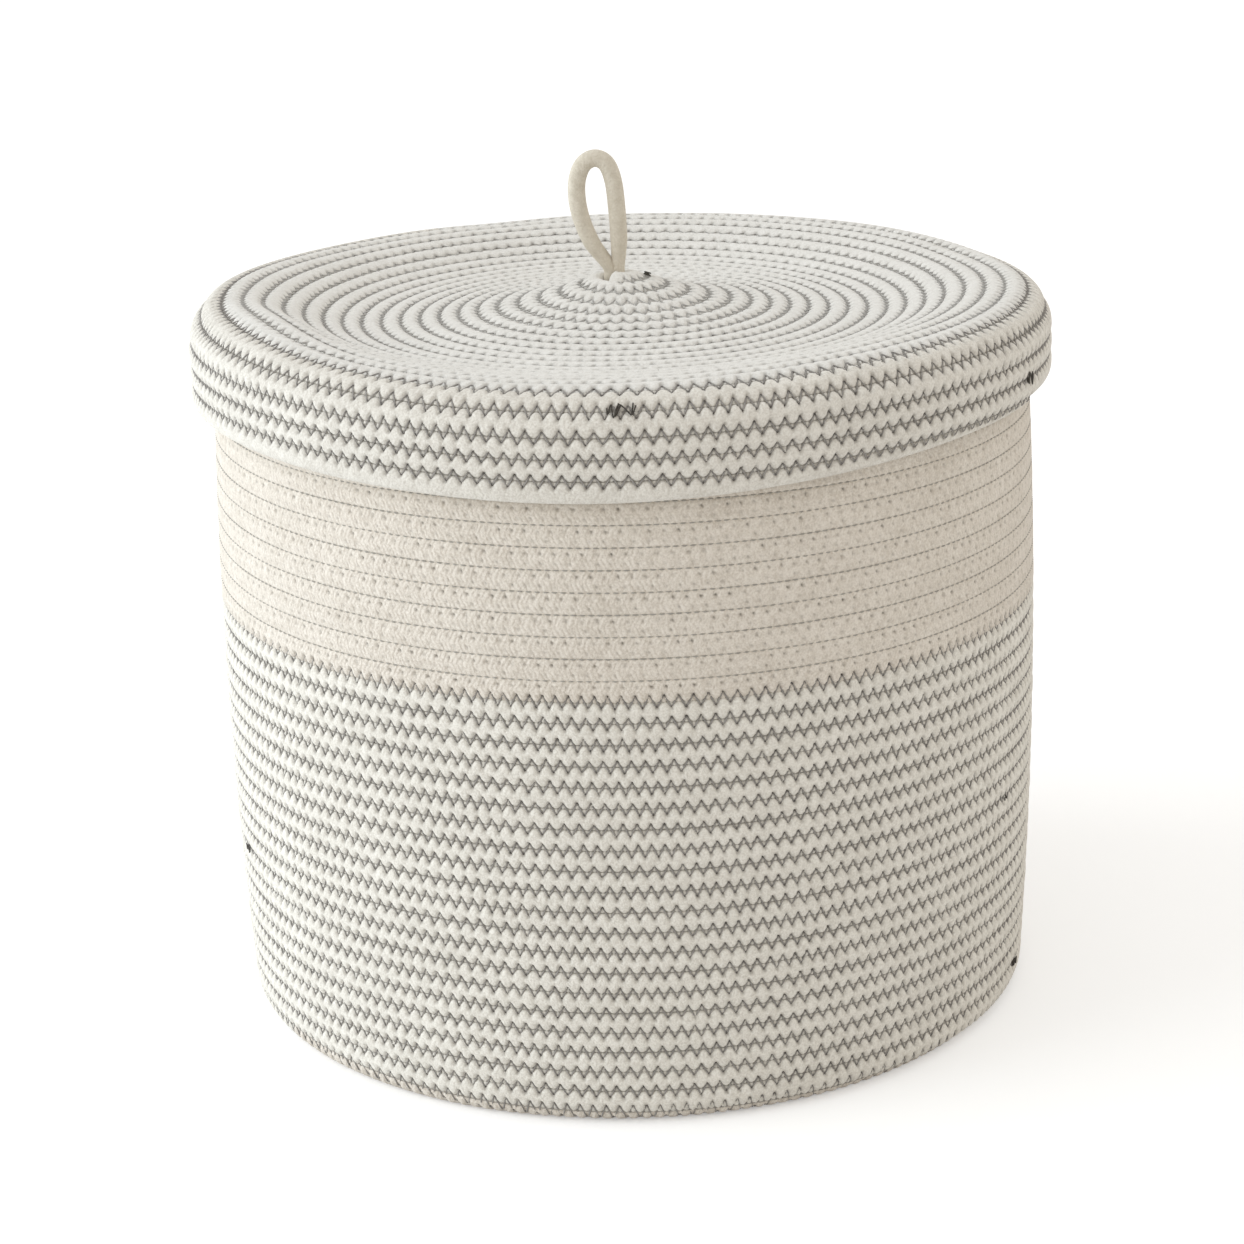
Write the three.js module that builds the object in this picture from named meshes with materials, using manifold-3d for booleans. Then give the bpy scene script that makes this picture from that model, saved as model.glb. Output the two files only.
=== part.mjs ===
// Round storage basket of coiled and sewn cotton rope, with a loose overhanging lid and a cord loop on it.
// Millimetres, +Z up. The basket stands on z = 0, centred on the Z axis, and its front faces -Y.
import * as THREE from "three";
import { mergeVertices } from "three/addons/utils/BufferGeometryUtils.js";
import Module from "manifold-3d";

const wasm = await Module();
wasm.setup();

// The rope, and how its courses lie against each other: the lid is sewn a little tighter than the basket
const BASKET_PITCH = 8.3;
const LID_PITCH = 7.85;
const ROPE_THICKNESS = 8;
const SEAM_GAP = 0.5;
const SEAT_GAP = 0.3;

// The basket: outer radii of the wall at its foot, at half height and at the rim
const FOOT_RADIUS = 164;
const BELLY_RADIUS = 167.5;
const RIM_RADIUS = 163;
const CORNER_RADIUS = 3;
const FLOOR_EDGE_BEVEL = 3;

// Turns of the basket's rope in its wall, and the direction in which it leaves the floor's middle
const GREY_SEWN_TURNS = 20.25;
const NATURAL_SEWN_TURNS = 12.75;
const BASKET_START_ANGLE = THREE.MathUtils.degToRad(-150);

// The lid: its skirt hangs outside the wall, and its top is dished between the crown and the centre,
// which the loop has drawn up to a low cone. At the front its crown and skirt droop.
const LID_CLEARANCE = 2;
const SHOULDER_RADIUS = 12;
const RIDGE_SINK = 0.75;
const DISH_RADIUS = 98;
const DISH_DEPTH = 6;
const CENTRE_RISE = 15;
const CONE_SHARES = { reach: 0.33, drop: 0.62, level: 0.6 };
const DROOP = 3;
const DROOP_CENTRE = THREE.MathUtils.degToRad(-98);
const DROOP_HALF_WIDTH = THREE.MathUtils.degToRad(60);

// The lid's rope: the room round the cord in its middle, the turns of its top beyond the crown, and
// those of its skirt. Its start angle brings the rope's end to the right and its facets beside the rim's.
const HOLE_CLEARANCE = 1.4;
const OVER_CROWN_TURNS = 0.5;
const SKIRT_TURNS = 4.6;
const LID_START_ANGLE = THREE.MathUtils.degToRad(210);

// The cord loop on the lid, and its two ends sewn down under the lid
const CORD_RADIUS = 3.5;
const LEG_SPACING = 7.5;
const LOOP_HEIGHT = 48;
const LOOP_LEAN = 17.2;
const HINGE_ABOVE_LID = 1;
const TAIL_LENGTH = 28;
const TAIL_BEND_RADIUS = 6;

// Facets: steps in one turn of rope, and how far out the small turns take half as many
const STEPS_PER_TURN = 20;
const COARSE_RADIUS = 60;
const CORD_SIDES = 10;
const LOOP_STEPS = 40;
const TAIL_STEPS = 18;

// A rope's last end is drawn in to a share of its thickness over a part of a turn
const END_TAPER_TURNS = 0.15;
const END_TAPER = 0.4;

// Turns apart between which two points of a coil count as neighbours, and the lengths taken as nothing
const NEIGHBOUR_TURNS = { least: 0.5, most: 1.5 };
const ROUNDING = 1e-6;
const MERGE_DISTANCE = 1e-4;

const HALF_ROPE = ROPE_THICKNESS / 2;
const halfCourseAt = (pitch) => (pitch - SEAM_GAP) / 2;

// The floor's spiral and the lid's flat one end on a quarter turn, where the rope begins to turn down or up,
// and the lid's begins on a whole step
const toQuarterTurn = (turns) => Math.round(4 * turns) / 4;
const toNextStep = (turns) => Math.ceil(turns * STEPS_PER_TURN) / STEPS_PER_TURN;
const floorTurns = toQuarterTurn((FOOT_RADIUS - HALF_ROPE - CORNER_RADIUS) / BASKET_PITCH);
const rimEnd = floorTurns + GREY_SEWN_TURNS + NATURAL_SEWN_TURNS;

const naturalRope = new THREE.MeshStandardMaterial({ color: 0xe9e3d6, roughness: 0.95 });
const greySewnRope = new THREE.MeshStandardMaterial({ color: 0xd9d5cc, roughness: 0.95 });
const lidRope = new THREE.MeshStandardMaterial({ color: 0xdedbd5, roughness: 0.95 });
const loopCord = new THREE.MeshStandardMaterial({ color: 0xe6ddcb, roughness: 0.9 });

// Half section of the basket through the middle of its rope, from the floor's centre to the rim. The wall
// is a shallow parabola, whose height is its length less what its swell takes up.
function basketSection() {
  const foot = FOOT_RADIUS - HALF_ROPE;
  const belly = BELLY_RADIUS - HALF_ROPE;
  const rim = RIM_RADIUS - HALF_ROPE;
  const cornerCentre = foot - CORNER_RADIUS;
  const wallFoot = HALF_ROPE + CORNER_RADIUS;
  const wallLength = rimEnd * BASKET_PITCH - cornerCentre - (Math.PI / 2) * CORNER_RADIUS;
  const swell = belly - (foot + rim) / 2;
  const wallTop = wallFoot + wallLength - ((8 / 3) * swell ** 2) / wallLength;
  const section = new THREE.Path();
  section.moveTo(0, HALF_ROPE);
  section.lineTo(cornerCentre, HALF_ROPE);
  section.absarc(cornerCentre, wallFoot, CORNER_RADIUS, -Math.PI / 2, 0, false);
  section.quadraticCurveTo(belly + swell, (wallFoot + wallTop) / 2, rim, wallTop);
  return section;
}

// Half section of the lid through the middle of its rope, from its centre over the shoulder to the hem.
// The hollow of its shoulder rests on the rim's last course, where that still has its full thickness,
// and it sinks a little further, as the ridges in the hollow lie beside the rim's top edge.
function lidSection(basket) {
  const skirt = RIM_RADIUS + LID_CLEARANCE + HALF_ROPE;
  const shoulder = skirt - SHOULDER_RADIUS;
  const rim = courseAt(basket, (rimEnd - END_TAPER_TURNS) * BASKET_PITCH).centre;
  const rimTop = rim.y + halfCourseAt(BASKET_PITCH);
  const reach = SHOULDER_RADIUS - HALF_ROPE - SEAT_GAP;
  const across = rim.x - shoulder;
  const shoulderHeight = rimTop - Math.sqrt(reach ** 2 - across ** 2) - RIDGE_SINK;
  const crown = shoulderHeight + SHOULDER_RADIUS;
  const dish = crown - DISH_DEPTH;
  const centre = dish + CENTRE_RISE;
  const halfUp = (DISH_RADIUS + shoulder) / 2;
  const section = new THREE.Path();
  section.moveTo(0, centre);
  const { reach: coneReach, drop, level } = CONE_SHARES;
  const coneFoot = centre - drop * CENTRE_RISE;
  section.bezierCurveTo(coneReach * DISH_RADIUS, coneFoot, level * DISH_RADIUS, dish, DISH_RADIUS, dish);
  section.bezierCurveTo(halfUp, dish, halfUp, crown, shoulder, crown);
  section.absarc(shoulder, shoulderHeight, SHOULDER_RADIUS, Math.PI / 2, 0, true);
  section.lineTo(skirt, shoulderHeight - SKIRT_TURNS * LID_PITCH);
  return section;
}

// How far the lid's rim stands above its front in a direction: nothing inside the dish
function lidLift(radius, angle) {
  const outward = THREE.MathUtils.smoothstep(radius, DISH_RADIUS, RIM_RADIUS - SHOULDER_RADIUS);
  const turned = Math.atan2(Math.sin(angle - DROOP_CENTRE), Math.cos(angle - DROOP_CENTRE));
  return DROOP * outward * THREE.MathUtils.smoothstep(Math.abs(turned), 0, DROOP_HALF_WIDTH);
}

// Where the rope's middle lies at a length along a half section: x is the radius and y the height
function courseAt(section, length) {
  const along = length / section.getLength();
  return { centre: section.getPoint(along), tangent: section.getTangent(along) };
}

// One unbroken rope wound round the Z axis along a half section, from one count of turns to another.
// Its section is four-sided: a crest on each face of the wall, and an edge at each seam. A lift, where
// given, raises it by direction.
function windRope(section, { pitch, from, to, startAngle, facing, taperEnd, lift }) {
  const positions = [];
  const turnsAt = [];
  const index = [];
  let turns = from;
  while (turns < to + ROUNDING) {
    const tapered = taperEnd ? Math.max(0, 1 - (to - turns) / END_TAPER_TURNS) : 0;
    const taper = 1 - (1 - END_TAPER) * Math.min(1, tapered);
    const halfCourse = halfCourseAt(pitch) * taper;
    const { centre, tangent } = courseAt(section, turns * pitch - (1 - taper) * halfCourseAt(pitch));
    const outward = new THREE.Vector2(tangent.y, -tangent.x).multiplyScalar(facing * HALF_ROPE * taper);
    const upward = tangent.clone().multiplyScalar(halfCourse);
    const angle = startAngle - facing * turns * 2 * Math.PI;
    const height = centre.y + (lift ? lift(centre.x, angle) : 0);
    for (const offset of [outward, upward, outward.clone().negate(), upward.clone().negate()]) {
      const radius = centre.x + offset.x;
      positions.push(radius * Math.cos(angle), radius * Math.sin(angle), height + offset.y);
    }
    turnsAt.push(turns);
    turns += (centre.x < COARSE_RADIUS ? 2 : 1) / STEPS_PER_TURN;
  }
  const rings = turnsAt.length;
  for (let ring = 0; ring < rings - 1; ring++) {
    for (let side = 0; side < 4; side++) {
      const a = ring * 4 + side;
      const b = ring * 4 + ((side + 1) % 4);
      index.push(a, b, a + 4, b, b + 4, a + 4);
    }
  }
  const last = (rings - 1) * 4;
  index.push(0, 2, 1, 0, 3, 2, last, last + 1, last + 2, last, last + 2, last + 3);
  const geometry = new THREE.BufferGeometry();
  geometry.setAttribute("position", new THREE.Float32BufferAttribute(positions, 3));
  geometry.setIndex(index);
  geometry.userData.turnsAt = turnsAt;
  return geometry;
}

// The least distance between the edges of neighbouring turns, at their corners and half way between these
function leastGap(geometry) {
  const { turnsAt } = geometry.userData;
  const corner = (ring, side) =>
    new THREE.Vector3().fromBufferAttribute(geometry.getAttribute("position"), ring * 4 + side);
  const points = [];
  for (let ring = 0; ring < turnsAt.length - 1; ring++) {
    for (let side = 0; side < 4; side++) {
      const start = corner(ring, side);
      points.push({ turns: turnsAt[ring], at: start });
      const middle = start.clone().lerp(corner(ring + 1, side), 0.5);
      points.push({ turns: (turnsAt[ring] + turnsAt[ring + 1]) / 2, at: middle });
    }
  }
  let least = Infinity;
  for (const [order, one] of points.entries()) {
    for (let next = order + 1; next < points.length; next++) {
      const apart = points[next].turns - one.turns;
      if (apart > NEIGHBOUR_TURNS.most) break;
      if (apart > NEIGHBOUR_TURNS.least) least = Math.min(least, one.at.distanceTo(points[next].at));
    }
  }
  return least;
}

// The floor: a disc whose edge follows the spiral that the first wall course is sewn to
function floorDisc() {
  const outline = new THREE.Shape();
  for (let step = 0; step <= STEPS_PER_TURN; step++) {
    const turns = floorTurns + step / STEPS_PER_TURN;
    const radius = turns * BASKET_PITCH - halfCourseAt(BASKET_PITCH) - SEAM_GAP;
    const angle = BASKET_START_ANGLE - turns * 2 * Math.PI;
    const x = radius * Math.cos(angle);
    const y = radius * Math.sin(angle);
    if (step === 0) outline.moveTo(x, y);
    else outline.lineTo(x, y);
  }
  outline.closePath();
  const disc = new THREE.ExtrudeGeometry(outline, {
    depth: ROPE_THICKNESS - 2 * FLOOR_EDGE_BEVEL,
    bevelThickness: FLOOR_EDGE_BEVEL,
    bevelSize: FLOOR_EDGE_BEVEL,
    bevelOffset: -FLOOR_EDGE_BEVEL,
    bevelSegments: 1,
  });
  return disc.translate(0, 0, FLOOR_EDGE_BEVEL);
}

// A geometry as a solid for joining, and back
function solidOf(geometry) {
  const bare = geometry.clone();
  bare.deleteAttribute("normal");
  bare.deleteAttribute("uv");
  const merged = mergeVertices(bare, MERGE_DISTANCE);
  const mesh = new wasm.Mesh({
    numProp: 3,
    vertProperties: merged.getAttribute("position").array,
    triVerts: new Uint32Array(merged.index.array),
  });
  return new wasm.Manifold(mesh);
}

function geometryOf(solid) {
  const mesh = solid.getMesh();
  const geometry = new THREE.BufferGeometry();
  geometry.setAttribute("position", new THREE.BufferAttribute(mesh.vertProperties, 3));
  geometry.setIndex(new THREE.BufferAttribute(mesh.triVerts, 1));
  return geometry;
}

// A round cord along a curve in the XZ plane
function cordAlong(curve, steps) {
  const corners = [];
  for (let side = 0; side < CORD_SIDES; side++) {
    const angle = (2 * Math.PI * side) / CORD_SIDES;
    corners.push(new THREE.Vector2(CORD_RADIUS * Math.cos(angle), CORD_RADIUS * Math.sin(angle)));
  }
  return new THREE.ExtrudeGeometry(new THREE.Shape(corners), { steps, extrudePath: curve });
}

function curveThrough(points) {
  return new THREE.CatmullRomCurve3(points.map(([x, z]) => new THREE.Vector3(x, 0, z)));
}

// The finger loop: both legs stand together on the lid and lean a little to the left, and each leg ends
// in a half ball, on which it bends over
function fingerLoop() {
  const leg = LEG_SPACING / 2;
  const top = LOOP_HEIGHT - CORD_RADIUS;
  const leansAndRises = [
    [0.04, 0.28],
    [0.01, 0.55],
    [-0.07, 0.8],
    [-0.25, 0.95],
    [-0.53, 1],
    [-0.83, 0.93],
    [-1, 0.76],
    [-0.94, 0.52],
    [-0.67, 0.26],
  ];
  const between = leansAndRises.map(([lean, rise]) => [lean * LOOP_LEAN, rise * top]);
  const loop = curveThrough([[leg, 0], ...between, [-leg, 0]]);
  let solid = solidOf(cordAlong(loop, LOOP_STEPS));
  for (const side of [-1, 1]) {
    const ball = new THREE.SphereGeometry(CORD_RADIUS, CORD_SIDES, CORD_SIDES / 2);
    solid = solid.add(solidOf(ball.rotateX(Math.PI / 2).translate(side * leg, 0, 0)));
  }
  return geometryOf(solid);
}

// One end of the cord: down through the lid's hole, round a bend and flat along the lid's underside
function cordTail(section, side, topHeight) {
  const leg = LEG_SPACING / 2;
  const underLid = (reach) => {
    const { centre, tangent } = courseAt(section, reach);
    return centre.y - (HALF_ROPE + SEAT_GAP + CORD_RADIUS) / tangent.x;
  };
  const bend = leg + TAIL_BEND_RADIUS;
  const bendCentre = { x: bend, z: underLid(bend) + TAIL_BEND_RADIUS };
  const points = [[leg, topHeight]];
  for (const degrees of [0, 22.5, 45, 67.5, 90]) {
    const angle = Math.PI + THREE.MathUtils.degToRad(degrees);
    points.push([
      bendCentre.x + TAIL_BEND_RADIUS * Math.cos(angle),
      bendCentre.z + TAIL_BEND_RADIUS * Math.sin(angle),
    ]);
  }
  for (const share of [0.5, 1]) {
    const reach = bendCentre.x + share * (TAIL_LENGTH - bendCentre.x);
    points.push([reach, underLid(reach)]);
  }
  return cordAlong(curveThrough(points.map(([x, z]) => [side * x, z])), TAIL_STEPS);
}

function piece(name, geometry, material) {
  const mesh = new THREE.Mesh(geometry, material);
  mesh.name = name;
  return mesh;
}

function coil(name, section, winding, material) {
  const geometry = windRope(section, winding);
  const turns = (winding.to - winding.from).toFixed(2);
  console.log(`${name}: ${turns} turns, least gap to itself ${leastGap(geometry).toFixed(2)} mm`);
  return piece(name, geometry, material);
}

// The basket, from the floor's centre clockwise outwards and up
const basket = new THREE.Group();
const basketLine = basketSection();
const basketWinding = { pitch: BASKET_PITCH, startAngle: BASKET_START_ANGLE, facing: 1 };
const colourChange = floorTurns + GREY_SEWN_TURNS;
const seatTurns = SEAT_GAP / (2 * Math.PI * RIM_RADIUS);
basket.add(
  piece("floor_coil", floorDisc(), naturalRope),
  coil(
    "lower_wall_coil",
    basketLine,
    { from: floorTurns, to: colourChange, taperEnd: false, ...basketWinding },
    greySewnRope,
  ),
  coil(
    "upper_wall_coil",
    basketLine,
    { from: colourChange + seatTurns, to: rimEnd + seatTurns, taperEnd: true, ...basketWinding },
    naturalRope,
  ),
);

// The lid, from its centre anticlockwise outwards and down over the shoulder
const lid = new THREE.Group();
const lidLine = lidSection(basketLine);
const holeRadius = LEG_SPACING / 2 + CORD_RADIUS + HOLE_CLEARANCE;
const holeTurns = toNextStep((holeRadius + halfCourseAt(LID_PITCH)) / LID_PITCH);
const lidWinding = { pitch: LID_PITCH, startAngle: LID_START_ANGLE, facing: -1, lift: lidLift };
const [, crownLength] = lidLine.getCurveLengths();
const skirtStart = toQuarterTurn(crownLength / LID_PITCH) + OVER_CROWN_TURNS;
const hemEnd = skirtStart + SKIRT_TURNS;
lid.add(
  coil(
    "lid_top_coil",
    lidLine,
    { from: holeTurns, to: skirtStart, taperEnd: false, ...lidWinding },
    lidRope,
  ),
  coil(
    "lid_skirt_coil",
    lidLine,
    { from: skirtStart + seatTurns, to: hemEnd + seatTurns, taperEnd: true, ...lidWinding },
    lidRope,
  ),
);

// The cord: the loop bends over on the lid's surface, and its ends are held under the lid
const hingeHeight = lidLine.getPoint(0).y + HALF_ROPE + HINGE_ABOVE_LID;
const tailTop = hingeHeight - CORD_RADIUS - SEAT_GAP;
lid.add(
  piece("handle_tail_left", cordTail(lidLine, -1, tailTop), loopCord),
  piece("handle_tail_right", cordTail(lidLine, 1, tailTop), loopCord),
);
const handle = new THREE.Group();
handle.add(piece("handle_loop", fingerLoop(), loopCord));
handle.position.z = hingeHeight;

const ropeBasket = new THREE.Group();
ropeBasket.add(basket, lid, handle);
export default ropeBasket;
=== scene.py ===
import math

import bpy
import numpy as np
from mathutils import Matrix, Vector


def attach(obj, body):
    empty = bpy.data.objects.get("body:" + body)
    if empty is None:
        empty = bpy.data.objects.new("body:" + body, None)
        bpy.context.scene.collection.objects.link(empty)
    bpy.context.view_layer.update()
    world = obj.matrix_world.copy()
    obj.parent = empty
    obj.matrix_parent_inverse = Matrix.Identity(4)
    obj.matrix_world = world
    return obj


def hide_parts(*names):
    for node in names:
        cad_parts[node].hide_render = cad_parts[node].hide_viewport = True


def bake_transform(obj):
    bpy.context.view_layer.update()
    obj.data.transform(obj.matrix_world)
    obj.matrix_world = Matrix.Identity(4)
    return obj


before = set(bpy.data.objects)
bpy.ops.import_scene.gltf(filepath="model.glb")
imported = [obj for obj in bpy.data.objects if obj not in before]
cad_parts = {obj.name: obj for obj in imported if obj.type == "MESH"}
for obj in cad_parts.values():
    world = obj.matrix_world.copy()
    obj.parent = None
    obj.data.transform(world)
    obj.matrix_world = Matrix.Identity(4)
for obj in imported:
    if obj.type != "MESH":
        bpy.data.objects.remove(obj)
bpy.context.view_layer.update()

MM = 0.001
TURN = 2 * math.pi

# The rope, and the basket that it is wound into
ROPE_HALF = 4.0
SEAM_GAP = 0.5
BASKET_PITCH = 8.3
FOOT_RADIUS = 164.0
BELLY_RADIUS = 167.5
RIM_RADIUS = 163.0
CORNER_RADIUS = 3.0
FLOOR_FIRST_TURN = 0.35
FLOOR_TURNS = 19.0
GREY_SEWN_TURNS = 20.25
NATURAL_SEWN_TURNS = 12.75
COLOUR_CHANGE = FLOOR_TURNS + GREY_SEWN_TURNS
RIM_END = COLOUR_CHANGE + NATURAL_SEWN_TURNS
BASKET_START = math.radians(-150)

# The lid, with its crown, dish and low cone
LID_PITCH = 7.85
LID_CLEARANCE = 2.0
SHOULDER_RADIUS = 12.0
RIDGE_SINK = 0.75
RIM_MARGIN_TURNS = 0.15
DISH_RADIUS = 98.0
DISH_DEPTH = 6.0
CENTRE_RISE = 15.0
CONE_REACH, CONE_DROP, CONE_LEVEL = 0.33, 0.62, 0.6
SEAT_GAP = 0.3
LID_FIRST_TURN = 1.06
SKIRT_FIRST_TURN = 20.75
SKIRT_TURNS = 4.6
HEM_END = SKIRT_FIRST_TURN + SKIRT_TURNS
LID_START = math.radians(210)

# How the lid has lost its shape: its front droops, and the crown stands up at the left
DROOP, DROOP_CENTRE, DROOP_HALF_WIDTH = 3.0, math.radians(-98), math.radians(60)
ALL_ROUND_LIFT = 0.6
CENTRE_LIFT, CENTRE_LIFT_END = 2.0, 34
CROWN_BUMPS = [
    # height, direction, half width of it, length along the section and half width of it
    (5.5, math.radians(204), math.radians(17), 148, 14),
    (2.4, math.radians(172), math.radians(22), 160, 16),
    (-1.8, math.radians(18), math.radians(16), 154, 12),
    (-0.8, math.radians(109), math.radians(10), 160, 14),
    (1.5, math.radians(214), math.radians(32), 190, 24),
]

# How far the lid's first courses close in on the cord, and where along the section that ends
CENTRE_SHIFT = 4.2
SHIFT_START, SHIFT_END = 8.0, 60.0

# The half sections are drawn with so many points, and run on straight past their ends
LINE_POINTS, ARC_POINTS, WALL_POINTS = 200, 60, 300
SAME_POINT = 1e-9
SECTION_SPARE = 20

# Rope sections: points across the outer and the inner face, and how close the rings lie
OUTER_SHARES = np.array([
    -0.985, -0.93, -0.84, -0.72, -0.57, -0.39, -0.2, 0,
    0.2, 0.39, 0.57, 0.72, 0.84, 0.93, 0.985,
])
INNER_SHARES = np.array([0.96, 0.78, 0.5, 0.17, -0.17, -0.5, -0.78, -0.96])
RING_SPACING = 0.7
FLOOR_RING_SPACING = 1.3

# The turns over which a rope's last end is drawn in and its first end at the lid's hole is
# rounded, and how thick it is at the very end
END_TAPER_TURNS, END_TAPER = 0.2, 0.4
OPENING_TURNS, OPENING_TAPER = 0.06, 0.35

# The most turns of rope in one piece
FLOOR_PIECE, GREY_PIECE, NATURAL_PIECE, LID_PIECE = 14, 4.1, 4.3, 6.6

# Slow unevenness by length along the rope, as waves of so much height, length and phase: of its
# thickness, of its way along the wall, and of the count of teeth
THICKNESS = 0.978
THICKNESS_WAVES = ((0.012, 29, 0), (0.01, 11.3, 0.7))
WANDER_WAVES = ((0.06, 47, 2), (0.05, 19, 0))
TEETH_WAVES = ((0.35, 37, 0), (0.12, 13.7, 1.3))

# The zigzag: one tooth's length on each rope, the points along one tooth, how far it reaches to
# each side of the seam and how much that varies, and how its thread lies
BASKET_TOOTH, LID_TOOTH = 5.05, 5.5
TOOTH_SHARES = np.array([0, 0.09, 0.4, 0.5, 0.59, 0.9])
TIP_SHARES = (0, 0.5)
REACH, REACH_SPREAD = 2.9, 0.13
THREAD_RADIUS, NATURAL_THREAD_RADIUS, LID_THREAD_RADIUS = 0.285, 0.18, 0.24
THREAD_LIFT = 0.1
TIP_DIP = 0.4

# The fine line in a seam, partly thread and partly painted shade of the gap between courses: how
# deep it lies, its radius and the height of its beads
GREY_LINE = (1.3, 0.14, 0.06)
NATURAL_LINE = (0.6, 0.25, 0.4)
LID_LINE = (1.5, 0.15, 0.06)
BEAD_LENGTH, POINTS_PER_BEAD = 3.1, 4

# How the sewing presses a rope: how unevenly the needle pulls, over which length the thread's
# groove ends past its tips, the deepest press, how it ends towards the rope's edges, and how
# much of the groove gets the same painted shade as a needle hole
PULL, PULL_SPREAD = 0.85, 0.4
GROOVE_END = 0.8
DEEPEST_PRESS = 1.6
FLAT_RISE, FLAT_START = 1.6, 0.2
GROOVE_MARK = 0.24

# How a rope takes the sewing: how square its section is pressed, how far neighbours are pressed
# into each other, how deep and wide the thread and the needle holes press into it, how deep the
# thread lies, and how much of this shows along a course's lower edge
FEEL_PARTS = (
    "squareness", "overlap", "pinch", "pinch_width", "hole", "hole_width", "sink", "lower_share",
)
FLOOR_FEEL = (3.2, 0.2, 0.3, 0.6, 0.3, 0.8, 0.6, 1.0)
GREY_FEEL = (3.4, 0.42, 1.2, 0.5, 0.55, 0.72, 1.0, 1.0)
NATURAL_FEEL = (6.0, 0.42, 0.12, 0.6, 0.9, 0.58, 0.6, 0.6)
LID_MIDDLE_FEEL = (2.7, 0.33, 0.85, 0.5, 0.4, 0.75, 0.85, 1.0)
LID_FEEL = (2.7, 0.33, 0.5, 0.5, 0.3, 0.7, 0.9, 1.0)
SKIRT_FEEL = (3.0, 0.4, 1.2, 0.5, 0.55, 0.72, 1.0, 1.0)

# The turns between which each stretch of the two ropes takes the sewing in its own way
BASKET_FEELS = [
    (FLOOR_TURNS - 0.5, FLOOR_FEEL), (FLOOR_TURNS, GREY_FEEL),
    (COLOUR_CHANGE, GREY_FEEL), (COLOUR_CHANGE + 0.1, NATURAL_FEEL),
]
LID_FEELS = [
    (6, LID_MIDDLE_FEEL), (12, LID_FEEL),
    (SKIRT_FIRST_TURN - 2, LID_FEEL), (SKIRT_FIRST_TURN - 0.5, SKIRT_FEEL),
]

# The first and last seam that is sewn, and where the thread changes: a seam is named by the
# turn half way between its two courses
BASKET_SEAMS = (1.3, RIM_END - 0.5)
LID_SEAMS = (LID_FIRST_TURN + 0.6, HEM_END - 0.5)
GREY_THREAD_FROM, NATURAL_THREAD_FROM = FLOOR_TURNS - 0.3, COLOUR_CHANGE + 0.5
SKIRT_THREAD_FROM = SKIRT_FIRST_TURN - 0.5

# How wide the zigzag is sewn at a turn, as a share of its full reach
BASKET_REACH = [
    (0, 0.6), (FLOOR_TURNS - 1, 0.6), (FLOOR_TURNS, 0.85),
    (COLOUR_CHANGE + 0.5, 0.85), (COLOUR_CHANGE + 0.6, 0.8),
]
LID_REACH = [
    (0, 0.85), (6, 0.8), (10, 0.45), (18.7, 0.45), (20.2, 0.78),
    (HEM_END - 0.63, 0.78), (HEM_END - 0.5, 0.42),
]

# The length along each rope and the count of its teeth are worked out at so many points, and for
# a little more rope than is made
SPARE_TURNS, TURN_STEPS = 1.6, 4000
SPARE_TEETH, TEETH_STEPS = 40, 40000

# The cord: the finger loop, whose line is given in shares of its lean aside and of its height,
# with its two feet in the lid's hole, and the cord's two ends under the lid
CORD_RADIUS = 3.5
CORD_SIDES, CORD_STEPS = 24, 12
LEG_SPACING = 7.5
LOOP_HEIGHT = 48.0
LOOP_LEAN, LOOP_DRAWN_IN = 17.2, 1.6
LEANS_AND_RISES = [
    (0.04, 0.28), (0.01, 0.55), (-0.06, 0.8), (-0.23, 0.96), (-0.53, 1.01),
    (-0.84, 0.945), (-1.0, 0.77), (-0.94, 0.52), (-0.67, 0.26),
]
LOOP_RADII = [2.2, 2.6, 3.4, *[CORD_RADIUS] * 7, 3.4, 2.6, 2.2]
HINGE_ABOVE_LID = 1.0
FOOT_ASIDE, FOOT_HALF_SPACING = -1.8, 1.9
FOOT_DEPTH, FOOT_RISE = 6.0, 1.0
FOOT_SET_BACK, SET_BACK_HEIGHT = 1.5, 12.0
TAIL_START = 5.0
TAIL_LENGTH = 28.0
TAIL_BEND_RADIUS = 6.0
TAIL_BEND_DEGREES = (0, 22.5, 45, 67.5, 90)
TAIL_RADII = [2.7, 3.3, 3.4, 3.4, 3.3]

# Knots and thread ends that show: the body, how many turns along its rope, the knot's size along
# and across the seam, and its slot
KNOTS = [
    ("skirt_front_knot", "lid", 21.166, 6.0, 2.2, "lid_rope"),
    ("skirt_right_knot", "lid", 23.344, 2.2, 2.8, "lid_rope"),
    ("lid_middle_knot", "lid", 1.45, 2.0, 1.4, "lid_rope"),
    ("wall_left_knot", "basket", 27.03, 2.6, 1.6, "grey_sewn_rope"),
    ("wall_foot_knot", "basket", 19.635, 2.4, 1.8, "grey_sewn_rope"),
    ("wall_right_knot", "basket", 29.661, 1.2, 0.8, "grey_sewn_rope"),
]

# A knot's thread, how many points it has, how far they stray, and how high they heap up
KNOT_THREAD_RADIUS, KNOT_THREAD_SIDES, KNOT_STEPS = 0.27, 6, 6
KNOT_LEAST_POINTS, KNOT_POINTS_PER_MM = 6, 1.5
KNOT_STRAY, KNOT_NARROWEST = 0.35, 0.3
KNOT_SINK, KNOT_HEAP = 0.35, 0.9
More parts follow.
